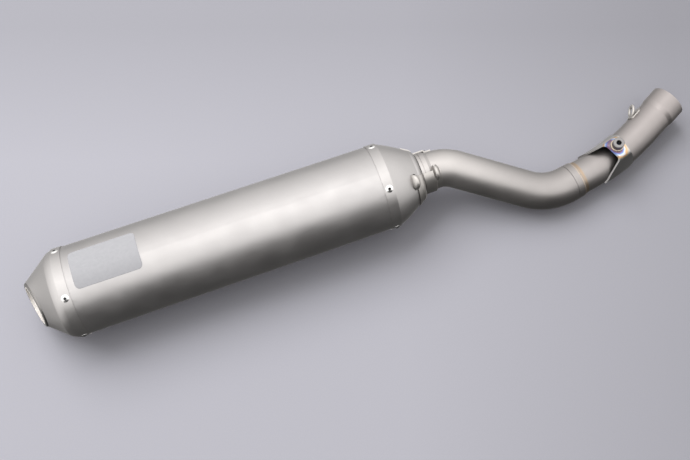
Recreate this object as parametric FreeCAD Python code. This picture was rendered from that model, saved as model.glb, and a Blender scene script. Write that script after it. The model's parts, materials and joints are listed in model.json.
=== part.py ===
"""Racing exhaust: round packed muffler, slip joint and S-bent link pipe.

Millimetres, +Z up. The model is drawn with the muffler axis along +X, from the outlet to the
inlet, over a floor at Z = 0. The last step moves every piece so that the origin is at the
bottom centre of the whole exhaust's box.
"""
import FreeCAD, Part
import math
import os

V = FreeCAD.Vector

# ---- muffler sleeve and its two caps -------------------------------------------------------
can_length = 400.0          # sleeve length seen between the two cap bands
can_outlet_radius = 57.0    # outside, at the outlet band's edge
can_narrowing = 1.8         # radius lost along the sleeve: the can tapers a little
sleeve_wall = 0.8
band_width = 12.5           # cap band that laps over the sleeve
band_wall = 0.9
cap_wall = 1.2
cap_inset = 0.1             # cone and dome start this much inside the band's inner face
flange_wall = 0.7           # step that joins each band to its cone or dome
sleeve_lap = 11.5           # length of sleeve under each band
cone_length = 39.1          # outlet cone, from the band to the mouth's centre
cone_shoulder = 9.5         # rounded stretch between band and cone
shoulder_drop = 3.6         # radius lost along that stretch
shoulder_share = 0.33       # share of that drop lost in the stretch's first half
mouth_slant = 13.2          # degrees that the mouth is turned towards -Y
mouth_tilt = 13.2           # degrees that it is turned up
mouth_offset = 2.0          # its centre lies this far towards -Y of the can's axis
mouth_radius = 28.2         # centre line of the rolled lip
lip_radius = 2.4
lip_seat = 0.3              # the cone ends this much outside the lip
liner_length = 22.0
liner_wall = 1.2
liner_clearance = 0.2
dome_length = 43.5          # inlet dome, from its band to the slip joint
dome_middle = 0.46          # shares of its length and of its fall where the dome is rounded
dome_mid_height = 0.645
dome_knee = 6.5             # distance of the dome's last bend from its end
dome_knee_height = 0.256
dome_turn = 1.8             # the last bend's middle, from the end, and its share of the height
dome_turn_height = 0.55
dome_mid_lean = 27.0        # degrees that the dome's face leans at those three places
dome_knee_lean = 37.0
dome_turn_lean = 72.0

# ---- inside the muffler --------------------------------------------------------------------
core_step = 0.9             # the core's outside is this much smaller than the liner's inside
core_wall = 1.0
core_hole_radius = 2.5
core_rows = 22
core_holes_round = 8
core_row_margin = 14.0
core_gap = 10.0             # between the slanted mouth liner's middle and the core
wool_thickness = 5.7        # steel wool wrap
soft_clearance = 0.3        # between each packing layer and its neighbour
ring_wall = 1.2
ring_collar_length = 10.0
rim_inset = 1.0             # the ring's rim stops this short of the band's open edge
collar_wall = 1.2

# ---- slip joint ----------------------------------------------------------------------------
pipe_radius = 24.3          # outside of the front tube
tube_wall = 1.2
running_clearance = 0.05    # radial, on both faces of the seal bush
bush_wall = 1.95
socket_wall = 1.2
spigot_length = 36.0        # front tube inside the socket
bush_length = 34.0
joint_gap = 1.0             # between the dome's end and the collar
land_height = 2.3           # the collar's lands over the tube
groove_height = 1.2
first_land = 3.6
groove_width = 0.8
second_land = 5.6
second_drop = 0.3           # the second land is this much lower
collar_ramp = 4.0
collar_lip = 0.2            # height left at the ramp's end

# ---- rivets --------------------------------------------------------------------------------
rivets_per_cap = 5
rivet_first_angle = 22.3    # degrees from straight up towards -Y
rivet_inset = 6.5           # from the band's edge
rivet_shank_radius = 2.4
rivet_head_radius = 4.75
rivet_head_height = 1.4
rivet_tail_radius = 3.6
rivet_tail_height = 2.5
mandrel_radius = 1.6
mandrel_depth = 3.0
rivet_clearance = 0.05

# ---- spring hooks and their saddles --------------------------------------------------------
saddle_wall = 1.5
saddle_span = 76.0          # degrees round the pipe
near_hook_angle = 28.0      # degrees from straight up towards -Y
far_hook_angle = -113.0
near_saddle_angle = 57.0    # middle of each pair of saddles
far_saddle_angle = -113.0
hook_length = 22.0          # round the pipe
hook_width = 10.5           # along the pipe
hook_wall = 2.2
hook_room = 6.0             # clear height under the arch
hook_opening = 0.62         # the hollow's half length as a share of the hook's length
cap_hook_setback = 14.0     # from the dome's end to the foot of the hook's middle
cap_hook_lean = 32.0        # degrees, so that the arch stands square to the dome
cap_saddle_length = 11.5
saddle_start = 0.6          # from the collar's end to the pipe's saddle
pipe_saddle_length = 14.0
saddle_tail = 1.0           # the pipe's saddle ends this far past its hook
pipe_hook_offset = 18.5     # from the dome's end to the hook's middle

# ---- link pipe route -----------------------------------------------------------------------
first_corner = 35.0         # from the dome's end, along the can's axis
first_bend = 58.0           # centre-line radii of the three bends
second_bend = 75.0
third_bend = 300.0
s_reach = 121.4             # first corner to second corner along X
s_offset = -73.2            # and along Y
run_reach = 107.3           # second corner to third corner
run_offset = 18.3
end_reach = 93.3            # third corner to the open end
end_offset = 48.5
end_rise = 8.5
coupling_straight = 5.0     # straight end of the front tube after the second bend
coupling_wall = 0.85        # between the front tube's inside and the rear tube's outside
coupling_groove = 0.7       # seam between the front tube's end and the ring's land
coupling_land = 8.5
coupling_step = 0.3         # the land is this much lower than the front tube
coupling_plug = 4.0
weld_radius = 1.0

# ---- inlet sleeve --------------------------------------------------------------------------
inlet_growth = 1.25         # the sleeve that slips over the header pipe is this much larger
inlet_length = 21.0
flare_length = 6.0
loop_setback = 47.5         # from the open end to the spring loop's middle
loop_angle = -70.0          # degrees from straight up towards the near side
loop_lean = 37.0            # degrees that the loop rises towards the open end
loop_height = 5.0           # the loop's middle over the tube
loop_radius = 5.4           # centre line of its rod
loop_stretch = 1.3          # the loop is this much longer than wide
loop_rod = 1.8
loop_plate_length = 20.0
loop_plate_width = 13.0

# ---- hanger bracket ------------------------------------------------------------------------
bracket_station = 53.8      # along the rear tube, from the front tube's end
bracket_wall = 2.0
bracket_height = 38.0       # roof over the tube's axis
roof_near = -13.5           # roof edges each side of the tube's axis
roof_far = 14.0
bracket_rear = 29.0
roof_rear = 25.0
mouth_foot = -21.0          # the open end leans back from foot to roof
mouth_top = 4.0
mouth_skew = 10.0           # degrees; the near side of the mouth stands further back
rear_step = 22.0
roof_round = 8.0
flank_bite = 0.4            # the flanks run this far into the wrap, so that they aren't tangent
roof_edge_share = 0.7       # the roof's inside is narrower by this share of the wall, each side
boss_radius = 7.4
boss_height = 10.0
boss_bore = 3.4             # tapping size of an M8 thread
boss_along = 15.5
boss_across = 3.5
boss_weld = 1.3
boss_chamfer = 0.7

# ---- badge ---------------------------------------------------------------------------------
badge_angle = -9.0          # degrees from straight up towards -Y
badge_thickness = 0.35
badge_centre = 51.0         # from the sleeve's outlet end
badge_length = 84.0
badge_width = 50.0
badge_corner = 6.0

# ---- places worked out from the sizes ------------------------------------------------------
can_inlet_radius = can_outlet_radius - can_narrowing
can_taper = can_narrowing / can_length
axis_height = can_outlet_radius + band_width * can_taper + band_wall
cap_start = can_length + band_width
joint_x = cap_start + dome_length
spigot_start = joint_x - spigot_length
bush_inner = pipe_radius + running_clearance
bush_outer = bush_inner + bush_wall
socket_inner = bush_outer + running_clearance
socket_outer = socket_inner + socket_wall
collar_start = joint_x + joint_gap
cone_start = -band_width
cone_top_radius = can_outlet_radius - cap_inset
cone_bend_radius = cone_top_radius - shoulder_drop
mouth_outer = mouth_radius + lip_radius + lip_seat
cone_slope = (cone_bend_radius - mouth_outer) / (cone_length - cone_shoulder)
dome_top_radius = can_inlet_radius - cap_inset
mouth_x = cone_start - cone_length
liner_outer = mouth_radius - lip_radius - liner_clearance
core_radius = liner_outer - liner_wall - core_step
wool_radius = core_radius + soft_clearance + wool_thickness
land_radius = pipe_radius + land_height
groove_radius = pipe_radius + groove_height
rear_radius = pipe_radius - tube_wall - coupling_wall
coupling_radius = pipe_radius - coupling_step
inlet_radius = rear_radius + inlet_growth
dome_fall = dome_top_radius - socket_outer
dome_mid_radius = socket_outer + dome_mid_height * dome_fall
dome_knee_radius = socket_outer + dome_knee_height * dome_fall
box_precision = 0.02
upright = 0.9               # smallest share of an edge's direction that counts as along an axis
REACH = 400.0               # larger than any piece that it trims
cut_margin = 1.0            # cutters stand this far past the faces that they cut


def can_radius(x):
    """Outside radius of the tapered sleeve at x."""
    return can_outlet_radius - can_taper * x


def on_axis(x, r):
    """Point at x along the muffler axis and r above it."""
    return V(x, 0, axis_height + r)


def lines(points):
    return [Part.makeLine(a, b) for a, b in zip(points, points[1:])]


def arc(a, b, c):
    return Part.Arc(a, b, c).toShape()


def turned(edges, start=0.0, sweep=360.0):
    """Solid made by turning a closed outline about the muffler axis."""
    face = Part.Face(Part.Wire(edges))
    if start:
        face.rotate(on_axis(0, 0), V(1, 0, 0), start)
    return face.revolve(on_axis(0, 0), V(1, 0, 0), sweep)


def turned_polygon(points, start=0.0, sweep=360.0):
    outline = [on_axis(x, r) for x, r in points]
    return turned(lines(outline + outline[:1]), start, sweep)


def turned_ring(x0, x1, inner, outer, start=0.0, sweep=360.0):
    return turned_polygon([(x0, inner), (x1, inner), (x1, outer), (x0, outer)], start, sweep)


def rod(x0, x1, radius):
    return Part.makeCylinder(radius, x1 - x0, on_axis(x0, 0), V(1, 0, 0))


def placed(shape, origin, along, up=V(0, 0, 1)):
    """Copy of a shape drawn in a local frame: X along a tube, Z up, Y to its left."""
    x = V(along)
    x.normalize()
    y = up.cross(x)
    y.normalize()
    z = x.cross(y)
    frame = FreeCAD.Matrix(x.x, y.x, z.x, origin.x,
                           x.y, y.y, z.y, origin.y,
                           x.z, y.z, z.z, origin.z,
                           0, 0, 0, 1)
    copy = shape.copy()
    copy.transformShape(frame, True)
    return copy


def prism(points, thickness):
    """Polygon in the local X-Z plane, made thickness wide across Y."""
    outline = [V(x, -thickness / 2, z) for x, z in points]
    face = Part.Face(Part.makePolygon(outline + outline[:1]))
    return face.extrude(V(0, thickness, 0))


# ---- rivets --------------------------------------------------------------------------------

def rivet_angles():
    return [rivet_first_angle + 360.0 * i / rivets_per_cap for i in range(rivets_per_cap)]


def round_the_axis(shape, angle):
    """Copy of a shape drawn straight above the axis, turned by angle towards -Y."""
    copy = shape.copy()
    copy.rotate(on_axis(0, 0), V(1, 0, 0), angle)
    return copy


def drilled(shape, x):
    """Shape with the rivet holes of one cap drilled through it."""
    drill = Part.makeCylinder(rivet_shank_radius + rivet_clearance, REACH, on_axis(x, 0))
    for angle in rivet_angles():
        shape = shape.cut(round_the_axis(drill, angle))
    return shape


def filled_can(x, outside):
    """Solid stretch of the tapered can round x, outside mm larger than the sleeve."""
    x0 = x - 2 * rivet_head_radius
    x1 = x + 2 * rivet_head_radius
    return turned_polygon([(x0, 0), (x1, 0), (x1, can_radius(x1) + outside),
                           (x0, can_radius(x0) + outside)])


def rivet(x):
    """One blind rivet: domed head, shank, spread tail and the mandrel's hole."""
    grip = sleeve_wall + ring_wall
    top = can_radius(x) + band_wall
    low = can_radius(x) - grip - rivet_tail_height
    ball = (rivet_head_radius ** 2 + rivet_head_height ** 2) / (2 * rivet_head_height)
    head = Part.makeSphere(ball, on_axis(x, top + rivet_head_height - ball))
    head = head.common(Part.makeCylinder(rivet_head_radius, REACH, on_axis(x, 0)))
    head = head.cut(filled_can(x, band_wall))
    tail = Part.makeCylinder(rivet_tail_radius, 2 * rivet_tail_height, on_axis(x, low))
    tail = tail.common(filled_can(x, -grip))
    shank = Part.makeCylinder(rivet_shank_radius, top + rivet_head_height / 2 - low,
                              on_axis(x, low))
    bore = Part.makeCylinder(mandrel_radius, REACH,
                             on_axis(x, top + rivet_head_height - mandrel_depth))
    return head.fuse([shank, tail]).removeSplitter().cut(bore)


# ---- muffler -------------------------------------------------------------------------------

def sleeve_shell(x0, x1, outside, thickness):
    """Tapered shell that follows the sleeve, outside mm out from its outer face."""
    return turned_polygon([(x0, can_radius(x0) + outside - thickness),
                           (x1, can_radius(x1) + outside - thickness),
                           (x1, can_radius(x1) + outside),
                           (x0, can_radius(x0) + outside)])


def outer_sleeve():
    shell = sleeve_shell(-sleeve_lap, can_length + sleeve_lap, 0.0, sleeve_wall)
    shell = drilled(shell, -rivet_inset)
    return drilled(shell, can_length + rivet_inset)


def mouth_axis():
    """Outward direction of the slanted mouth."""
    axis = V(-1, -math.tan(math.radians(mouth_slant)), math.tan(math.radians(mouth_tilt)))
    axis.normalize()
    return axis


def mouth_centre():
    return V(mouth_x, -mouth_offset, axis_height)


def beyond_mouth():
    """Space outside the mouth's plane, as a large cylinder."""
    return Part.makeCylinder(REACH, REACH, mouth_centre(), mouth_axis())


def cone_circles(inset):
    """The cone's two ends: a circle square to the can's axis and one in the mouth's plane."""
    thin = inset / math.cos(math.atan(cone_slope))
    bend = on_axis(cone_start - cone_shoulder, 0)
    root = Part.Wire(Part.makeCircle(cone_bend_radius - thin, bend, V(-1, 0, 0)))
    tip = Part.Wire(Part.makeCircle(mouth_outer - thin, mouth_centre(), V(-1, 0, 0)))
    turn = FreeCAD.Rotation(V(-1, 0, 0), mouth_axis())
    tip.rotate(mouth_centre(), turn.Axis, math.degrees(turn.Angle))
    return root, tip


def filled_cone(inset):
    """Rounded shoulder and slanted cone, inset mm inside the outer face."""
    root, tip = cone_circles(inset)
    bend = on_axis(cone_start - cone_shoulder, root.Edges[0].Curve.Radius)
    start = on_axis(cone_start, cone_top_radius - inset)
    mid = on_axis((start.x + bend.x) / 2,
                  start.z - axis_height - (start.z - bend.z) * shoulder_share)
    edges = [arc(start, mid, bend)]
    edges += lines([bend, V(bend.x, 0, axis_height), V(start.x, 0, axis_height), start])
    return turned(edges).fuse(Part.makeLoft([root, tip], True, True))


def outlet_cap():
    shell = filled_cone(0.0).cut(filled_cone(cap_wall))
    flange = turned_ring(cone_start, cone_start + flange_wall, cone_top_radius - cap_wall,
                         can_outlet_radius + band_wall / 2)
    band = sleeve_shell(-band_width, 0, band_wall, band_wall)
    return drilled(shell.fuse([flange, band]).removeSplitter(), -rivet_inset)


def outlet_lip():
    ring = Part.makeTorus(mouth_radius, lip_radius, mouth_centre(), mouth_axis())
    return ring.common(beyond_mouth())


def outlet_liner():
    start = mouth_centre() + mouth_axis() * lip_radius
    length = liner_length + lip_radius
    outer = Part.makeCylinder(liner_outer, length, start, mouth_axis() * -1)
    return outer.cut(Part.makeCylinder(liner_outer - liner_wall, length, start,
                                       mouth_axis() * -1))


def core_start():
    """The core's end stands just inside the mouth liner."""
    return mouth_x + liner_length + core_gap


def inward(lean):
    """Inward normal of the dome where its outer face leans by this many degrees."""
    turn = math.radians(lean)
    return V(-math.sin(turn), 0, -math.cos(turn))


def dome_points(inset):
    """Outline of the inlet dome, inset mm inside its outer face."""
    turn_radius = socket_outer + dome_turn_height * (dome_knee_radius - socket_outer)
    middle = cap_start + dome_length * dome_middle
    knee = joint_x - dome_knee
    return [on_axis(cap_start, dome_top_radius - inset),
            on_axis(middle, dome_mid_radius) + inward(dome_mid_lean) * inset,
            on_axis(knee, dome_knee_radius) + inward(dome_knee_lean) * inset,
            on_axis(joint_x - dome_turn, turn_radius) + inward(dome_turn_lean) * inset,
            on_axis(joint_x - inset, socket_outer)]


def filled_dome(inset):
    start, middle, knee, turn, end = dome_points(inset)
    edges = [arc(start, middle, knee), arc(knee, turn, end)]
    edges += lines([end, V(end.x, 0, axis_height), V(start.x, 0, axis_height), start])
    return turned(edges)


def inlet_cap():
    shell = filled_dome(0.0).cut(filled_dome(cap_wall))
    shell = shell.cut(rod(cap_start - cap_wall, joint_x + cap_wall, socket_outer))
    flange = turned_ring(cap_start - flange_wall, cap_start, dome_top_radius - cap_wall,
                         can_inlet_radius + band_wall / 2)
    band = sleeve_shell(can_length, cap_start, band_wall, band_wall)
    return drilled(shell.fuse([flange, band]).removeSplitter(), can_length + rivet_inset)


def inlet_socket():
    return turned_ring(cap_start + 2 * ring_wall, joint_x, socket_inner, socket_outer)


def core_end():
    return cap_start + ring_wall


def perforated_core():
    tube = turned_ring(core_start(), core_end(), core_radius - core_wall, core_radius)
    first = core_row_margin
    pitch = (can_length - 2 * core_row_margin) / (core_rows - 1)
    holes = []
    for row in range(core_rows):
        stagger = 0.5 * (row % 2)
        for i in range(core_holes_round // 2):
            drill = Part.makeCylinder(core_hole_radius, REACH,
                                      on_axis(first + row * pitch, -REACH / 2))
            holes.append(round_the_axis(drill, 360.0 * (i + stagger) / core_holes_round))
    return tube.cut(Part.makeCompound(holes))


def steel_wool_wrap():
    return turned_ring(soft_clearance, can_length - soft_clearance,
                       core_radius + soft_clearance, wool_radius)


def glass_wool_packing():
    x0 = soft_clearance
    x1 = can_length - soft_clearance
    skin = sleeve_wall + soft_clearance
    inner = wool_radius + soft_clearance
    return turned_polygon([(x0, inner), (x1, inner), (x1, can_radius(x1) - skin),
                           (x0, can_radius(x0) - skin)])


def support_ring(edge, outward):
    """Pressed ring that centres the core: rim in the sleeve, web, collar on the core.

    edge is the band's open edge, and outward is -1 at the outlet and 1 at the inlet.
    """
    web = edge + outward * sleeve_lap
    rim_edge = edge + outward * rim_inset
    collar_edge = web - outward * ring_collar_length
    rim = sleeve_shell(min(web, rim_edge), max(web, rim_edge), -sleeve_wall, ring_wall)
    web_inner = web - outward * ring_wall
    disc = turned_ring(min(web, web_inner), max(web, web_inner), core_radius,
                       can_radius(web) - sleeve_wall - ring_wall / 2)
    collar = turned_ring(min(web, collar_edge), max(web, collar_edge), core_radius,
                         core_radius + collar_wall)
    ring = rim.fuse([disc, collar]).removeSplitter()
    return drilled(ring, edge + outward * rivet_inset)


def band_rivets(edge, outward):
    """The rivets of one band, as a group of solids."""
    one = rivet(edge + outward * rivet_inset)
    return Part.makeCompound([round_the_axis(one, angle) for angle in rivet_angles()])


# ---- spring hooks --------------------------------------------------------------------------

def ellipsoid(half_x, half_y, half_z):
    stretch = FreeCAD.Matrix()
    stretch.scale(V(half_x, half_y, half_z))
    return Part.makeSphere(1.0).transformGeometry(stretch)


def hook_arch(base_radius):
    """Arched hook over the local X axis, hollow and open at both ends round the tube."""
    half = hook_length / 2
    drop = base_radius - math.sqrt(base_radius ** 2 - half ** 2)
    arch = ellipsoid(hook_width / 2, half, hook_room + hook_wall + drop)
    arch = arch.cut(ellipsoid(hook_width / 2 - hook_wall, hook_length * hook_opening,
                              hook_room + drop))
    arch.translate(V(0, 0, base_radius - drop))
    return arch


def joint_hook(x, angle, base_radius, lean, base):
    """Hook round the can's axis, seated on the solid called base."""
    arch = hook_arch(base_radius)
    arch.rotate(V(0, 0, base_radius), V(0, 1, 0), lean)
    arch.translate(on_axis(x, 0))
    return largest(round_the_axis(arch, angle).cut(base))


def largest(shape):
    return max(shape.Solids, key=lambda solid: solid.Volume)


def cap_saddle(angle):
    """Curved plate on the dome's last stretch, under the cap's hook."""
    sector = turned_ring(joint_x - cap_saddle_length, joint_x, socket_outer, can_inlet_radius,
                         angle - saddle_span / 2, saddle_span)
    return largest(sector.common(filled_dome(-saddle_wall)).cut(filled_dome(0.0)))


def dome_radius(x):
    """Outside radius of the dome at x, between its middle and its last bend."""
    middle, knee = dome_points(0.0)[1:3]
    share = (x - middle.x) / (knee.x - middle.x)
    return middle.z + (knee.z - middle.z) * share - axis_height


def cap_hook(angle, saddle_angle):
    x = joint_x - cap_hook_setback
    base = filled_dome(0.0).fuse(cap_saddle(saddle_angle))
    return joint_hook(x, angle, dome_radius(x), cap_hook_lean, base)


def pipe_saddle(angle):
    """Plate that bridges the collar's two lands and drops to the tube behind them."""
    inner = land_radius
    x0 = collar_start + saddle_start
    x1 = collar_start + pipe_saddle_length
    x2 = joint_x + pipe_hook_offset + hook_width / 2 + saddle_tail
    step = inner - pipe_radius
    plate = turned_polygon([(x0, inner), (x1, inner), (x1 + step, pipe_radius - step),
                            (x2, pipe_radius - step), (x2, pipe_radius + saddle_wall),
                            (x1 + step, pipe_radius + saddle_wall),
                            (x1 + saddle_wall / 2, inner + saddle_wall),
                            (x0, inner + saddle_wall)],
                           angle - saddle_span / 2, saddle_span)
    return largest(plate.cut(filled_front()).cut(joint_collar()))


def pipe_hook(angle, saddle_angle):
    base = filled_front().fuse([joint_collar(), pipe_saddle(saddle_angle)])
    return joint_hook(joint_x + pipe_hook_offset, angle, pipe_radius, 0.0, base)


# ---- slip joint ----------------------------------------------------------------------------

def seal_bush():
    """Bush that turns on the spigot and slides in the socket, with a thin lip in the gap."""
    end = collar_start - running_clearance
    return turned_ring(end - bush_length, end, bush_inner, bush_outer)


def joint_collar():
    x0 = collar_start
    x1 = x0 + first_land
    x2 = x1 + groove_width
    x3 = x2 + second_land
    x4 = x3 + collar_ramp
    second = land_radius - second_drop
    return turned_polygon([(x0, pipe_radius), (x4, pipe_radius),
                           (x4, pipe_radius + collar_lip), (x3, second), (x2, second),
                           (x2, groove_radius), (x1, groove_radius), (x1, land_radius),
                           (x0, land_radius)])


# ---- link pipe -----------------------------------------------------------------------------

def route_corners():
    low = pipe_radius
    p0 = V(spigot_start, 0, axis_height)
    p1 = V(joint_x + first_corner, 0, axis_height)
    p2 = V(p1.x + s_reach, s_offset, low)
    p3 = V(p2.x + run_reach, p2.y + run_offset, low)
    p4 = V(p3.x + end_reach, p3.y + end_offset, low + end_rise)
    return p0, p1, p2, p3, p4


def unit(vector):
    copy = V(vector)
    copy.normalize()
    return copy


def bend(before, corner, after, radius):
    """Start, middle and end of the tangent arc that rounds a corner."""
    back = unit(before - corner)
    ahead = unit(after - corner)
    half = back.getAngle(ahead) / 2
    reach = radius / math.tan(half)
    inward = unit(back + ahead)
    middle = corner + inward * (radius / math.sin(half) - radius)
    return corner + back * reach, middle, corner + ahead * reach


def coupling_point():
    p0, p1, p2, p3, p4 = route_corners()
    end = bend(p1, p2, p3, second_bend)[2]
    return end + unit(p3 - p2) * coupling_straight


def front_route():
    p0, p1, p2, p3, p4 = route_corners()
    a0, a1, a2 = bend(p0, p1, p2, first_bend)
    b0, b1, b2 = bend(p1, p2, p3, second_bend)
    return Part.Wire([Part.makeLine(p0, a0), arc(a0, a1, a2), Part.makeLine(a2, b0),
                      arc(b0, b1, b2), Part.makeLine(b2, coupling_point())])


def rear_route(start, end):
    """Rear tube's centre line, from start mm before the coupling to end mm before its end."""
    p0, p1, p2, p3, p4 = route_corners()
    c0, c1, c2 = bend(p2, p3, p4, third_bend)
    first = coupling_point() - unit(p3 - p2) * start
    last = p4 - unit(p4 - p3) * end
    return Part.Wire([Part.makeLine(first, c0), arc(c0, c1, c2), Part.makeLine(c2, last)])


def swept(route, radius):
    """Solid round bar along a route."""
    start = route.OrderedEdges[0]
    point = start.valueAt(start.FirstParameter)
    disc = Part.Wire(Part.makeCircle(radius, point, start.tangentAt(start.FirstParameter)))
    return route.makePipeShell([disc], True, False)


def filled_front():
    return swept(front_route(), pipe_radius)


def front_tube():
    return filled_front().cut(swept(front_route(), pipe_radius - tube_wall))


def rear_end():
    """Distance from the open end at which the rear tube meets the flare."""
    return inlet_length + flare_length


def filled_rear(radius):
    return swept(rear_route(coupling_plug, rear_end()), radius)


def rear_tube():
    return filled_rear(rear_radius).cut(filled_rear(rear_radius - tube_wall))


def run_direction():
    p0, p1, p2, p3, p4 = route_corners()
    return unit(p3 - p2)


def coupling_ring():
    """Stepped ring that plugs into the front tube and holds the rear tube."""
    start = coupling_point()
    along = run_direction()
    plug = Part.makeCylinder(pipe_radius - tube_wall, coupling_plug + coupling_groove,
                             start - along * coupling_plug, along)
    land = Part.makeCylinder(coupling_radius, coupling_land, start + along * coupling_groove,
                             along)
    hole = Part.makeCylinder(rear_radius, REACH, start - along * REACH / 2, along)
    return plug.fuse(land).removeSplitter().cut(hole)


def coupling_weld():
    """Weld bead between the coupling ring's land and the rear tube."""
    centre = coupling_point() + run_direction() * (coupling_groove + coupling_land)
    bead = Part.makeTorus(rear_radius, weld_radius, centre, run_direction())
    return bead.cut(filled_rear(rear_radius)).cut(coupling_ring())


def end_direction():
    p0, p1, p2, p3, p4 = route_corners()
    return unit(p4 - p3)


def inlet_sleeve():
    """Flared sleeve on the rear tube's end; its bore slips over the header pipe."""
    x0 = -inlet_length - flare_length
    outline = [(x0, rear_radius - tube_wall), (x0, rear_radius), (-inlet_length, inlet_radius),
               (0, inlet_radius), (0, inlet_radius - tube_wall),
               (-inlet_length, inlet_radius - tube_wall)]
    points = [V(x, 0, r) for x, r in outline]
    face = Part.Face(Part.makePolygon(points + points[:1]))
    sleeve = face.revolve(V(0, 0, 0), V(1, 0, 0), 360)
    return placed(sleeve, route_corners()[4], end_direction())


def loop_frame(shape):
    """Puts a shape drawn over the local X axis at the spring loop's place."""
    copy = shape.copy()
    copy.rotate(V(0, 0, 0), V(1, 0, 0), loop_angle)
    copy.translate(V(-loop_setback, 0, 0))
    return placed(copy, route_corners()[4], end_direction())


def inlet_saddle():
    """Curved foot plate with round ends, under the spring loop."""
    plate = Part.makeCylinder(rear_radius + saddle_wall, loop_plate_length,
                              V(-loop_plate_length / 2, 0, 0), V(1, 0, 0))
    block = Part.makeBox(loop_plate_length, loop_plate_width, REACH,
                         V(-loop_plate_length / 2, -loop_plate_width / 2, 0))
    edges = [e for e in block.Edges if abs(e.tangentAt(0).z) > upright]
    plate = plate.common(block.makeFillet(loop_plate_width / 3, edges))
    return loop_frame(plate).cut(filled_rear(rear_radius))


def inlet_hook():
    """Oval loop of round rod that leans towards the open end, its low side in the plate."""
    stretch = FreeCAD.Matrix()
    stretch.scale(V(loop_stretch, 1.0, 1.0))
    ring = Part.makeTorus(loop_radius, loop_rod).transformGeometry(stretch)
    ring.rotate(V(0, 0, 0), V(0, 1, 0), -loop_lean)
    ring.translate(V(0, 0, rear_radius + loop_height))
    return largest(loop_frame(ring).cut(filled_rear(rear_radius)).cut(inlet_saddle()))


# ---- hanger bracket ------------------------------------------------------------------------

def bracket_frame():
    """Point and direction of the rear tube's centre line under the bracket."""
    route = rear_route(0.0, rear_end())
    left = bracket_station
    for edge in route.OrderedEdges:
        if left <= edge.Length:
            at = edge.getParameterByLength(left)
            return edge.valueAt(at), edge.tangentAt(at)
        left -= edge.Length
    raise ValueError("the bracket lies past the rear tube's end")


def tangent_foot(edge, height, radius, side):
    """Where the line from a roof edge touches the tube's circle."""
    reach = math.hypot(edge, height)
    turn = math.atan2(edge, height) + side * math.acos(radius / reach)
    return radius * math.sin(turn), radius * math.cos(turn)


def hood(inset, length):
    """Block with a flat roof and flanks that run tangent to the tube."""
    radius = rear_radius + bracket_wall - inset
    height = bracket_height - inset
    near = roof_near + inset * roof_edge_share
    far = roof_far - inset * roof_edge_share
    foot_near = tangent_foot(near, height, radius - flank_bite, -1)
    foot_far = tangent_foot(far, height, radius - flank_bite, 1)
    outline = [(0, 0), foot_near, (near, height), (far, height), foot_far]
    points = [V(-length, y, z) for y, z in outline]
    block = Part.Face(Part.makePolygon(points + points[:1])).extrude(V(2 * length, 0, 0))
    top = [e for e in block.Edges
           if abs(e.tangentAt(0).x) > upright and e.CenterOfMass.z > height - box_precision]
    return block.makeFillet(roof_round - inset, top)


def keep_block(inset):
    """Side view of the bracket's rear end, as the block that stays."""
    rear = bracket_rear - inset
    roof = roof_rear - inset
    step = rear_step - inset
    top = bracket_height - inset + (cut_margin if inset == 0 else 0.0)
    low = 0.0 if inset == 0 else -bracket_wall
    return prism([(-REACH / 4, low), (rear, low), (rear, step), (roof, bracket_height - inset),
                  (roof, top), (-REACH / 4, top)], REACH / 2)


def hanger_bracket():
    origin, along = bracket_frame()
    length = bracket_rear * 3
    outer = placed(hood(0.0, length).common(keep_block(0.0)), origin, along)
    inner = placed(hood(bracket_wall, length).common(keep_block(bracket_wall)), origin, along)
    wrap = filled_rear(rear_radius + bracket_wall)
    wrap = wrap.common(placed(keep_block(0.0), origin, along))
    lean = (mouth_top - mouth_foot) / bracket_height
    front = prism([(-REACH / 2, -REACH / 4), (mouth_foot - lean * REACH / 4, -REACH / 4),
                   (mouth_foot + lean * REACH / 2, REACH / 2), (-REACH / 2, REACH / 2)], REACH)
    front.rotate(V(mouth_top, roof_far, 0), V(0, 0, 1), mouth_skew)
    shell = outer.fuse(wrap).cut(inner).cut(placed(front, origin, along))
    shell = shell.cut(filled_rear(rear_radius))
    return largest(shell.cut(boss_drill()).removeSplitter())


def boss_drill():
    return on_bracket(Part.makeCylinder(boss_bore, REACH / 4, V(0, 0, -bracket_wall * 2)))


def on_bracket(shape):
    """Puts a shape drawn on the local roof, at the boss's place."""
    origin, along = bracket_frame()
    copy = shape.copy()
    copy.translate(V(boss_along, boss_across, bracket_height))
    return placed(copy, origin, along)


def bracket_boss():
    body = Part.makeCylinder(boss_radius, boss_height)
    rim = [e for e in body.Edges if e.Vertexes[0].Z > boss_height / 2 and e.Closed]
    body = body.makeChamfer(boss_chamfer, rim)
    return on_bracket(body.cut(Part.makeCylinder(boss_bore, REACH, V(0, 0, -cut_margin))))


def boss_weld_bead():
    bead = Part.makeTorus(boss_radius, boss_weld, V(0, 0, 0))
    bead = bead.common(Part.makeBox(REACH, REACH, REACH, V(-REACH / 2, -REACH / 2, 0)))
    return on_bracket(bead.cut(Part.makeCylinder(boss_radius, REACH, V(0, 0, -cut_margin))))


# ---- badge ---------------------------------------------------------------------------------

def badge():
    """Thin plain plate with rounded corners, bent to the sleeve."""
    skin = sleeve_shell(0, can_length / 2, badge_thickness, badge_thickness)
    block = Part.makeBox(badge_length, badge_width, REACH,
                         V(badge_centre - badge_length / 2, -badge_width / 2, axis_height))
    upright = [edge for edge in block.Edges if edge.BoundBox.ZLength > REACH / 2]
    block = block.makeFillet(badge_corner, upright)
    return skin.common(round_the_axis(block, badge_angle))


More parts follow.
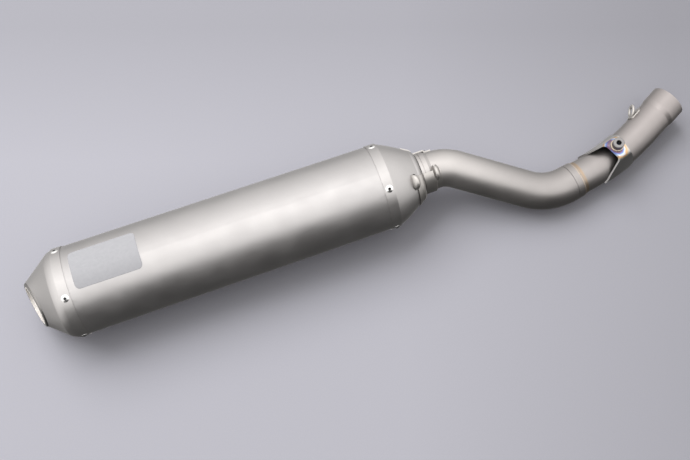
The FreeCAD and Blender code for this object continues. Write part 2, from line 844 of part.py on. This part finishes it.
def pieces():
    return {
        "outer_sleeve": outer_sleeve(),
        "outlet_cap": outlet_cap(),
        "outlet_lip": outlet_lip(),
        "outlet_liner": outlet_liner(),
        "inlet_cap": inlet_cap(),
        "inlet_socket": inlet_socket(),
        "perforated_core": perforated_core(),
        "steel_wool_wrap": steel_wool_wrap(),
        "glass_wool_packing": glass_wool_packing(),
        "outlet_support_ring": support_ring(0.0, -1),
        "inlet_support_ring": support_ring(can_length, 1),
        "outlet_rivets": band_rivets(0.0, -1),
        "inlet_rivets": band_rivets(can_length, 1),
        "near_cap_saddle": cap_saddle(near_saddle_angle),
        "near_cap_hook": cap_hook(near_hook_angle, near_saddle_angle),
        "far_cap_saddle": cap_saddle(far_saddle_angle),
        "far_cap_hook": cap_hook(far_hook_angle, far_saddle_angle),
        "badge": badge(),
        "seal_bush": seal_bush(),
        "joint_collar": joint_collar(),
        "near_pipe_saddle": pipe_saddle(near_saddle_angle),
        "near_pipe_hook": pipe_hook(near_hook_angle, near_saddle_angle),
        "far_pipe_saddle": pipe_saddle(far_saddle_angle),
        "far_pipe_hook": pipe_hook(far_hook_angle, far_saddle_angle),
        "front_tube": front_tube(),
        "coupling_ring": coupling_ring(),
        "coupling_weld": coupling_weld(),
        "rear_tube": rear_tube(),
        "inlet_sleeve": inlet_sleeve(),
        "inlet_saddle": inlet_saddle(),
        "inlet_hook": inlet_hook(),
        "hanger_bracket": hanger_bracket(),
        "bracket_boss": bracket_boss(),
        "boss_weld": boss_weld_bead(),
    }


def whole_box(shapes):
    """Tight box round all the shapes."""
    box = FreeCAD.BoundBox()
    for shape in shapes:
        shape.tessellate(box_precision)
        box.add(shape.optimalBoundingBox(True, False))
    return box


def main():
    os.makedirs("parts", exist_ok=True)
    shapes = pieces()
    box = whole_box(shapes.values())
    shift = V(-box.Center.x, -box.Center.y, -box.ZMin)
    for name, shape in shapes.items():
        shape.translate(shift)
        shape.exportStep("parts/" + name + ".step")
        print(name, len(shape.Solids), "solids", round(shape.Volume / 1000, 2), "cm3",
              "valid" if shape.isValid() else "INVALID")
    print("box", round(box.XLength, 2), round(box.YLength, 2), round(box.ZLength, 2))
    origin, along = bracket_frame()
    places = {
        "slip joint": V(joint_x, 0, axis_height),
        "mouth": mouth_centre() + mouth_axis() * lip_radius,
        "mouth axis": mouth_axis() - shift,
        "open end": route_corners()[4],
        "open end axis": end_direction() - shift,
        "boss top": on_bracket(Part.Vertex(V(0, 0, boss_height))).Point,
        "boss foot": on_bracket(Part.Vertex(V(0, 0, 0))).Point,
        "can middle": V(can_length / 2, 0, axis_height),
    }
    for name, point in places.items():
        moved = point + shift
        print(name, round(moved.x, 4), round(moved.y, 4), round(moved.z, 4))


main()
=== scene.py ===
"""Looks of the racing exhaust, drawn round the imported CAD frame. Metres, +Z up."""
import json
import math

import bpy
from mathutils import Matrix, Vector


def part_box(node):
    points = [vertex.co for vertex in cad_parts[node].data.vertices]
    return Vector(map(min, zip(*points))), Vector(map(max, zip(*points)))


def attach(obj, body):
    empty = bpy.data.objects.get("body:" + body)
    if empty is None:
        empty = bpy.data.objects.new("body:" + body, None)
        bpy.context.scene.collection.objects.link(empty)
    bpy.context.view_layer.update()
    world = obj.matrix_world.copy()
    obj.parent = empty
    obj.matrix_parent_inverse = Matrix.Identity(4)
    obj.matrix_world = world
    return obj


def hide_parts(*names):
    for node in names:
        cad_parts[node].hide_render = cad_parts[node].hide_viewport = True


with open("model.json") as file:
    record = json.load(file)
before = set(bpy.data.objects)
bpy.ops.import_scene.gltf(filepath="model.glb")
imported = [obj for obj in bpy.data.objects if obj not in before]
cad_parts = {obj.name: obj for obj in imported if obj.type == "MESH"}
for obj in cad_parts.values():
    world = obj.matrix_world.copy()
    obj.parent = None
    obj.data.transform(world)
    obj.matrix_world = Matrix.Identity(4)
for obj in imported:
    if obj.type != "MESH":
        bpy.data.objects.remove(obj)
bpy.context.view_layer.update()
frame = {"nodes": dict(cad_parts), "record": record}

MM = 0.001
TENT_NEAR, TENT_FAR_LOW, TENT_HORIZON, TENT_TOP = 0.10, 0.72, 1.55, 2.6
KEY_WATTS = 6.0
FILL_WATTS = 560.0
FLOOR_PALE = (0.107, 0.1065, 0.119)
SENSOR_WIDTH, LENS = 36.0, 54.78
CAMERA_PLACE = (-0.16097, -0.36718, 1.33923)
CAMERA_TILT = 16.0          # degrees off straight down
CAMERA_YAW = -0.340303      # radians
record = frame["record"]
mounts = {m["name"]: m for m in record["mounts"]}


def mount(name):
    m = mounts[name]
    return Vector(m["pos_m"]), Vector(m["axis"]).normalized()


def middle(node):
    low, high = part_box(node)
    return (low + high) / 2


# ---- places taken from the frame -----------------------------------------------------------
can_middle = mount("can_clamp_zone")[0]
boss_point, boss_up = mount("hanger_thread")
AXIS_Y, AXIS_Z = can_middle.y, can_middle.z


# ---- node helpers --------------------------------------------------------------------------
class Nodes:
    """Short way to wire a material."""

    def __init__(self, name):
        self.mat = bpy.data.materials.new(name)
        self.mat.use_nodes = True
        self.tree = self.mat.node_tree
        self.tree.nodes.clear()
        self.out = self.tree.nodes.new("ShaderNodeOutputMaterial")
        self.bsdf = self.tree.nodes.new("ShaderNodeBsdfPrincipled")
        self.tree.links.new(self.bsdf.outputs[0], self.out.inputs[0])
        self.position = self.object_position()

    def object_position(self):
        return self.tree.nodes.new("ShaderNodeTexCoord").outputs["Object"]

    def node(self, kind, **settings):
        n = self.tree.nodes.new(kind)
        for key, value in settings.items():
            setattr(n, key, value)
        return n

    def put(self, socket, value):
        if isinstance(value, bpy.types.NodeSocket):
            self.tree.links.new(value, socket)
        else:
            socket.default_value = value

    def math(self, operation, a, b=0.0, c=0.0, clamp=False):
        n = self.node("ShaderNodeMath", operation=operation, use_clamp=clamp)
        for socket, value in zip(n.inputs, (a, b, c)):
            self.put(socket, value)
        return n.outputs[0]

    def vector(self, operation, a, b=(0, 0, 0)):
        n = self.node("ShaderNodeVectorMath", operation=operation)
        self.put(n.inputs[0], a)
        self.put(n.inputs[1], b)
        return n.outputs["Value"] if operation in ("DOT_PRODUCT", "LENGTH") else n.outputs[0]

    def noise(self, scale, detail=2.0, rough=0.5, stretch=(1, 1, 1), distortion=0.0):
        n = self.node("ShaderNodeTexNoise")
        self.put(n.inputs["Vector"], self.vector("MULTIPLY", self.position, stretch))
        n.inputs["Scale"].default_value = scale
        n.inputs["Detail"].default_value = detail
        n.inputs["Roughness"].default_value = rough
        n.inputs["Distortion"].default_value = distortion
        return n.outputs["Fac"]

    def remap(self, value, low, high, to_low=0.0, to_high=1.0):
        n = self.node("ShaderNodeMapRange", clamp=True)
        for socket, v in zip(n.inputs, (value, low, high, to_low, to_high)):
            self.put(socket, v)
        return n.outputs[0]

    def ramp(self, value, stops):
        n = self.node("ShaderNodeValToRGB")
        self.put(n.inputs[0], value)
        elements = n.color_ramp.elements
        while len(elements) < len(stops):
            elements.new(0.5)
        for element, (place, color) in zip(elements, stops):
            element.position = place
            element.color = (*color, 1.0)
        return n.outputs[0]

    def mix(self, share, a, b, blend="MIX"):
        n = self.node("ShaderNodeMix", data_type="RGBA", blend_type=blend)
        self.put(n.inputs[0], share)
        for socket, value in ((n.inputs[6], a), (n.inputs[7], b)):
            self.put(socket, (*value, 1.0) if isinstance(value, tuple) else value)
        return n.outputs[2]

    def bump(self, height, strength, distance):
        n = self.node("ShaderNodeBump")
        n.inputs["Strength"].default_value = strength
        n.inputs["Distance"].default_value = distance
        self.put(n.inputs["Height"], height)
        self.put(self.bsdf.inputs["Normal"], n.outputs[0])

    def spread(self, value):
        """The same number on all three axes."""
        n = self.node("ShaderNodeCombineXYZ")
        for socket in n.inputs:
            self.put(socket, value)
        return n.outputs[0]

    def along(self, point, direction):
        """Distance of the shaded point from a plane, in metres, positive along direction."""
        return self.vector("DOT_PRODUCT", self.vector("SUBTRACT", self.position, tuple(point)),
                           tuple(direction))

    def away(self, point, direction):
        """Distance of the shaded point from a line, in metres."""
        gap = self.vector("SUBTRACT", self.position, tuple(point))
        cross = self.vector("CROSS_PRODUCT", gap, tuple(direction))
        return self.vector("LENGTH", cross)

    def surface(self, color, metallic, roughness, **others):
        b = self.bsdf.inputs
        self.put(b["Base Color"], (*color, 1.0) if isinstance(color, tuple) else color)
        self.put(b["Metallic"], metallic)
        self.put(b["Roughness"], roughness)
        for key, value in others.items():
            self.put(b[key.replace("_", " ")], value)
        return self.mat


STRAW = [(0.0, (0.33, 0.32, 0.31)), (0.4, (0.36, 0.29, 0.22)), (1.0, (0.36, 0.22, 0.11))]
# heat colours; the two last, dark stops are partly painted shade next to the boss
TEMPER_AND_SHADE = [(0.0, (0.33, 0.32, 0.31)), (0.16, (0.38, 0.31, 0.22)), (0.28, (0.42, 0.25, 0.12)),
          (0.44, (0.42, 0.49, 0.58)), (0.62, (0.11, 0.18, 0.42)), (0.80, (0.17, 0.10, 0.16)),
          (1.0, (0.14, 0.12, 0.13))]


def blasted(name, color, roughness=0.43, grain=0.35, tints=(), fade=None):
    """Bead-blasted titanium: fine grain, faint cloudy tone and heat tint where asked."""
    n = Nodes(name)
    cloud = n.noise(14.0, 3.0)
    tone = n.mix(n.remap(cloud, 0.3, 0.7), tuple(c * 0.95 for c in color),
                 tuple(min(1.0, c * 1.04) for c in color))
    fine = n.noise(2600.0, 1.0)
    tone = n.mix(n.remap(fine, 0.35, 0.65, 0.0, 0.16), tone, tuple(c * 0.72 for c in color))
    for heat, stops in tints:
        level = heat(n)
        tone = n.mix(n.remap(level, 0.02, 0.15), tone, n.ramp(level, stops))
    if fade:
        tone = n.vector("MULTIPLY", tone, fade(n))
    smudge = n.noise(38.0, 4.0, 0.6)
    rough = n.math("ADD", n.remap(smudge, 0.3, 0.7, -0.04, 0.05), roughness)
    n.bump(fine, grain, 0.00006)
    return n.surface(tone, 1.0, rough)


def polished(name, color, roughness=0.12):
    n = Nodes(name)
    wear = n.noise(160.0, 4.0, 0.65)
    rough = n.remap(wear, 0.3, 0.75, roughness * 0.7, roughness * 1.8)
    fine = n.noise(900.0, 2.0)
    n.bump(fine, 0.08, 0.00004)
    return n.surface(color, 1.0, rough)


def plane_tint(point, direction, width, strength=1.0, offset=0.0):
    """Heat band beside a weld that lies in a plane across a tube."""
    def level(n):
        gap = n.math("ABSOLUTE", n.math("SUBTRACT", n.along(point, direction), offset))
        wave = n.remap(n.noise(60.0, 2.0), 0.3, 0.7, -0.15, 0.15)
        return n.math("ADD", n.remap(gap, 0.0, width, strength, 0.0),
                      n.math("MULTIPLY", wave, n.remap(gap, 0.0, width, strength, 0.0)))
    return level


def boss_tint_and_shade(foot, up, front):
    """Heat colours on the sheet round the boss, strongest towards the bracket's mouth; the
    darkest ring right by the boss is partly painted shade.
    """
    def level(n):
        wave = n.remap(n.noise(85.0, 2.5, distortion=0.8), 0.3, 0.7, -0.0018, 0.0018)
        gap = n.math("ADD", n.away(foot, up), wave)
        ring = n.remap(gap, 0.0085, 0.0185, 1.0, 0.0)
        ahead = n.remap(n.along(foot, front), -0.009, 0.001, 0.12, 1.0)
        sheet = n.remap(n.along(foot, up), 0.0002, 0.0006, 1.0, 0.0)
        shallow = n.remap(n.along(foot, up), -0.016, -0.004, 0.0, 1.0)
        return n.math("MULTIPLY", n.math("MULTIPLY", ring, ahead),
                      n.math("MULTIPLY", sheet, shallow))
    return level


def soft_fibre(name, color, scale):
    n = Nodes(name)
    strand = n.noise(scale, 4.0, 0.7, stretch=(0.2, 1, 1), distortion=1.5)
    tone = n.mix(n.remap(strand, 0.3, 0.7), tuple(c * 0.6 for c in color), color)
    n.bump(strand, 0.9, 0.001)
    return n.surface(tone, 0.0, 0.95)


def badge_print(name):
    """One plain grey field, very slightly mottled."""
    n = Nodes(name)
    mottle = n.noise(300.0, 3.0, 0.6)
    tone = n.mix(n.remap(mottle, 0.3, 0.7), (0.105, 0.105, 0.11), (0.115, 0.115, 0.12))
    return n.surface(tone, 0.0, 0.38, Specular_IOR_Level=0.12)


def dark_inside(name, color=(0.10, 0.095, 0.09)):
    n = Nodes(name)
    soot_and_shade = n.noise(90.0, 5.0, 0.7)
    tone = n.mix(n.remap(soot_and_shade, 0.3, 0.7), tuple(c * 0.5 for c in color), color)
    return n.surface(tone, 0.6, n.remap(soot_and_shade, 0.3, 0.7, 0.45, 0.75))


def tube_fade_and_bracket_shade(n):
    """The pipe is darker and warmer towards the header, and carries painted shade, a near-black
    band right round it where it runs under the bracket.
    """
    x = n.vector("DOT_PRODUCT", n.position, (1.0, 0.0, 0.0))
    level = n.remap(x, 0.115, 0.205, 1.04, 0.72)
    # painted shade: the tube falls to 0.12 of its tone in a band right round it where it runs
    # into the bracket's mouth
    soot_and_shade = n.remap(n.along(boss_foot, bracket_along), -0.016, -0.004, 1.0, 0.12)
    past = n.remap(n.along(boss_foot, bracket_along), 0.009, 0.0095, 0.0, 1.0)
    level = n.math("MULTIPLY", level, n.math("MAXIMUM", soot_and_shade, past))
    warm = n.remap(x, 0.20, 0.42, 1.0, 0.965)
    both = n.node("ShaderNodeCombineXYZ")
    for socket, value in zip(both.inputs, (level, n.math("MULTIPLY", level, warm),
                                           n.math("MULTIPLY", level, warm))):
        n.put(socket, value)
    return both.outputs[0]


coupling_at = middle("coupling_ring")
boss_foot = boss_point - boss_up * 0.004
bracket_along = (middle("inlet_sleeve") - middle("coupling_ring")).normalized()
run_along = Vector((0.9858, 0.1681, 0.0)).normalized()
TITANIUM = (0.330, 0.321, 0.319)
CAP = (0.345, 0.335, 0.331)
TUBE = (0.330, 0.316, 0.308)

looks = {
    "blasted_titanium": blasted("blasted_titanium", TITANIUM),
    "blasted_cap": blasted("blasted_cap", CAP, 0.42, 0.25),
    "polished_rim": polished("polished_rim", (0.62, 0.60, 0.57)),
    "tube_titanium": blasted("tube_titanium", TUBE, 0.42, 0.22,
                             [(plane_tint(coupling_at, run_along, 0.0034, 0.55, 0.011), STRAW)],
                             tube_fade_and_bracket_shade),
    "bracket_titanium": blasted("bracket_titanium", (0.32, 0.315, 0.315), 0.40, 0.2,
                                [(boss_tint_and_shade(boss_foot, boss_up, -bracket_along), TEMPER_AND_SHADE)]),
    "hook_titanium": blasted("hook_titanium", (0.36, 0.345, 0.33), 0.38, 0.2),
    "weld_bead": polished("weld_bead", (0.36, 0.30, 0.24), 0.26),
    "rivet_aluminium": polished("rivet_aluminium", (0.62, 0.62, 0.61), 0.2),
    "inner_steel": dark_inside("inner_steel", (0.16, 0.15, 0.14)),
    "seal_graphite": dark_inside("seal_graphite", (0.04, 0.04, 0.04)),
    "glass_wool": soft_fibre("glass_wool", (0.78, 0.72, 0.46), 500.0),
    "steel_wool": soft_fibre("steel_wool", (0.34, 0.33, 0.32), 900.0),
    "badge_print": badge_print("badge_print"),
}

slots = {s["node"]: s["material_slot"] for s in record["subparts"]}
special = {"bracket_boss": blasted("plain_boss", (0.17, 0.165, 0.165), 0.42, 0.15),
           "outlet_lip": blasted("rolled_lip", (0.17, 0.165, 0.16), 0.36, 0.1),
           # painted light: the liner's base is near white, far brighter than its metal, so it
           # reads as lit through the opening
           "outlet_liner": blasted("satin_liner_painted_light", (0.88, 0.85, 0.82), 0.62, 0.1)}
# painted shade: near-black mandrel stubs stand in for the shade inside the rivet bores
painted_pit_shade = dark_inside("mandrel_painted_shade", (0.012, 0.012, 0.013))
for name, obj in frame["nodes"].items():
    obj.data.materials.clear()
    obj.data.materials.append(special.get(name, looks[slots[name]]))


# ---- pieces drawn here ---------------------------------------------------------------------
def lathe(name, outline, place, axis, steps=28):
    """Closed turned piece: (along, radius) pairs from one pole to the other."""
    turn = axis.to_track_quat("Z", "Y")
    points, faces = [], []
    rings = []
    for along, radius in outline:
        if radius <= 0.0:
            rings.append([len(points)] * steps)
            points.append(Vector((0, 0, along)))
            continue
        rings.append(list(range(len(points), len(points) + steps)))
        for i in range(steps):
            a = 2 * math.pi * i / steps
            points.append(Vector((radius * math.cos(a), radius * math.sin(a), along)))
    for low, high in zip(rings, rings[1:]):
        for i in range(steps):
            k = (i + 1) % steps
            corners = [low[i], low[k], high[k], high[i]]
            faces.append([c for n, c in enumerate(corners) if c not in corners[:n]])
    mesh = bpy.data.meshes.new(name)
    mesh.from_pydata([place + turn @ p for p in points], [], faces)
    return mesh


def rippled_ring(name, place, axis, radius, bead, ripples):
    """Weld bead laid round an axis as overlapping puddles."""
    per, around = 6, 14
    turn = axis.to_track_quat("Z", "Y")
    points, faces = [], []
    total = ripples * per
    for i in range(total):
        a = 2 * math.pi * i / total
        phase = (i % per) / per
        swell = bead * (0.88 + 0.14 * math.sqrt(1.0 - phase))
        drift = bead * 0.07 * math.sin(a * 7.0) + bead * 0.05 * math.sin(a * 17.0)
        for j in range(around):
            b = 2 * math.pi * j / around
            lag = 0.35 * math.cos(b) * math.pi / total
            r = radius + drift + swell * math.cos(b)
            points.append(place + turn @ Vector((r * math.cos(a + lag), r * math.sin(a + lag),
                                                 swell * math.sin(b))))
    for i in range(total):
        for j in range(around):
            k, m = (i + 1) % total, (j + 1) % around
            faces.append([i * around + j, k * around + j, k * around + m, i * around + m])
    mesh = bpy.data.meshes.new(name)
    mesh.from_pydata(points, [], faces)
    return mesh


def shown(mesh, body, slot_name, look=None):
    obj = bpy.data.objects.new(mesh.name, mesh)
    bpy.context.collection.objects.link(obj)
    mesh.validate()
    mesh.update()
    for polygon in mesh.polygons:
        polygon.use_smooth = True
    mesh.materials.append(look or looks[slot_name])
    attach(obj, body)
    return obj


def joined(name, meshes):
    points, faces = [], []
    for mesh in meshes:
        start = len(points)
        points += [v.co.copy() for v in mesh.vertices]
        faces += [[start + c for c in p.vertices] for p in mesh.polygons]
    whole = bpy.data.meshes.new(name)
    whole.from_pydata(points, [], faces)
    return whole


def weld_beads():
    bead = shown(rippled_ring("coupling_bead", middle("coupling_weld"), run_along, 0.0229,
                              0.00105, 62), "link_pipe", "weld_bead")
    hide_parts("coupling_weld")
    bead = shown(rippled_ring("boss_bead", boss_foot + boss_up * 0.0001, boss_up, 0.0076,
                              0.00125, 24), "link_pipe", "weld_bead")
    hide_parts("boss_weld")


def mandrels(node):
    """Broken mandrel stubs, coloured near-black as painted shade so they read as dark pits in the
    rivet heads.
    """
    low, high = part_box(node)
    centre_x = (low.x + high.x) / 2
    obj = frame["nodes"][node]
    reach = max(math.hypot(v.y - AXIS_Y, v.z - AXIS_Z)
                for v in (obj.matrix_world @ c.co for c in obj.data.vertices))
    stubs = []
    for i in range(5):
        a = math.radians(22.3 + 72.0 * i)
        out = Vector((0.0, -math.sin(a), math.cos(a)))
        head = Vector((centre_x, AXIS_Y, AXIS_Z)) + out * reach
        outline = [(-0.0027, 0.0), (-0.0026, 0.00156), (-0.0004, 0.00156), (-0.00025, 0.0021),
                   (0.00003, 0.0020), (0.00004, 0.0017), (-0.0010, 0.0009), (-0.0014, 0.0004),
                   (-0.0013, 0.0)]
        stubs.append(lathe(node + "_stub", outline, head, out, 20))
    shown(joined(node.replace("rivets", "mandrels"), stubs), "muffler", "inner_steel",
          painted_pit_shade)


weld_beads()
mandrels("outlet_rivets")
mandrels("inlet_rivets")


# ---- floor, light and camera ---------------------------------------------------------------
def plain_floor():
    bpy.ops.mesh.primitive_plane_add(size=12.0, location=(0, 0, 0))
    floor = bpy.context.object
    floor.name = "floor"
    n = Nodes("floor")
    grain = n.noise(700.0, 2.0)
    tone = n.mix(n.remap(grain, 0.3, 0.7), tuple(c * 0.97 for c in FLOOR_PALE),
                 tuple(c * 1.03 for c in FLOOR_PALE))
    # painted light: the floor's tone is darker towards the right and towards the far side,
    # standing in for uneven lamp light
    painted_falloff_side = n.remap(n.along((0, 0, 0), (0.943, -0.334, 0)), 0.05, 0.42, 1.0, 0.82)
    painted_falloff_far = n.remap(n.along((0, 0, 0), (0.334, 0.943, 0)), 0.08, 0.28, 1.0, 0.80)
    tone = n.vector("MULTIPLY", tone, n.spread(n.math("MULTIPLY", painted_falloff_side, painted_falloff_far)))
    floor.data.materials.append(n.surface(tone, 0.0, 0.55, Specular_IOR_Level=0.25))
    floor.visible_glossy = False


def softbox(name, place, target, size_x, size_y, watts, color, mirrored=True):
    data = bpy.data.lights.new(name, "AREA")
    data.shape = "RECTANGLE"
    data.size = size_x
    data.size_y = size_y
    data.energy = watts
    data.color = color
    lamp = bpy.data.objects.new(name, data)
    bpy.context.collection.objects.link(lamp)
    lamp.location = place
    lamp.rotation_euler = (Vector(target) - Vector(place)).to_track_quat("-Z", "Y").to_euler()
    lamp.visible_glossy = mirrored


def studio_tent():
    """Pale tent overhead, at the ends and on the far side, open and dark on the near side."""
    world = bpy.data.worlds.new("studio")
    bpy.context.scene.world = world
    world.use_nodes = True
    tree = world.node_tree
    split = tree.nodes.new("ShaderNodeSeparateXYZ")
    tree.links.new(tree.nodes.new("ShaderNodeTexCoord").outputs["Generated"], split.inputs[0])

    def step(source, low, high, to_low, to_high):
        n = tree.nodes.new("ShaderNodeMapRange")
        n.interpolation_type = "SMOOTHSTEP"
        tree.links.new(source, n.inputs[0])
        for socket, value in zip(n.inputs[1:5], (low, high, to_low, to_high)):
            socket.default_value = value
        return n.outputs[0]

    def two(operation, a, b):
        n = tree.nodes.new("ShaderNodeMath")
        n.operation = operation
        tree.links.new(a, n.inputs[0])
        tree.links.new(b, n.inputs[1])
        return n.outputs[0]

    up = split.outputs["Z"]
    down = step(up, -1.0, 0.0, -0.8, 0.0)
    side = two("ADD", split.outputs["Y"], down)
    height = two("ADD", step(up, 0.0, 0.9, TENT_HORIZON, TENT_TOP),
                 step(up, -0.45, 0.05, TENT_FAR_LOW - TENT_HORIZON, 0.0))
    level = two("ADD", two("MULTIPLY", step(side, -0.86, -0.60, 0.0, 1.0), height),
                step(side, -0.86, -0.60, TENT_NEAR, 0.0))
    back = tree.nodes["Background"]
    back.inputs[0].default_value = (1.0, 0.985, 0.975, 1.0)
    tree.links.new(level, back.inputs[1])


def light_the_studio():
    studio_tent()
    softbox("overhead", (0.0, 0.35, 1.9), (0, 0, 0), 1.6, 1.2, KEY_WATTS, (1.0, 0.985, 0.97))
    softbox("far_fill", (-1.0, 2.0, 3.3), (0, 0, 0), 3.4, 2.6, FILL_WATTS, (1.0, 1.0, 1.0), False)


def place_camera():
    """Looks 74 degrees down, from the near side, turned 19.5 degrees clockwise."""
    data = bpy.data.cameras.new("camera")
    data.sensor_width = SENSOR_WIDTH
    data.lens = LENS
    camera = bpy.data.objects.new("camera", data)
    bpy.context.collection.objects.link(camera)
    camera.location = CAMERA_PLACE
    camera.rotation_euler = (math.radians(CAMERA_TILT), 0.0, CAMERA_YAW)
    bpy.context.scene.camera = camera


plain_floor()
light_the_studio()
place_camera()
bpy.context.scene.view_settings.view_transform = "Standard"
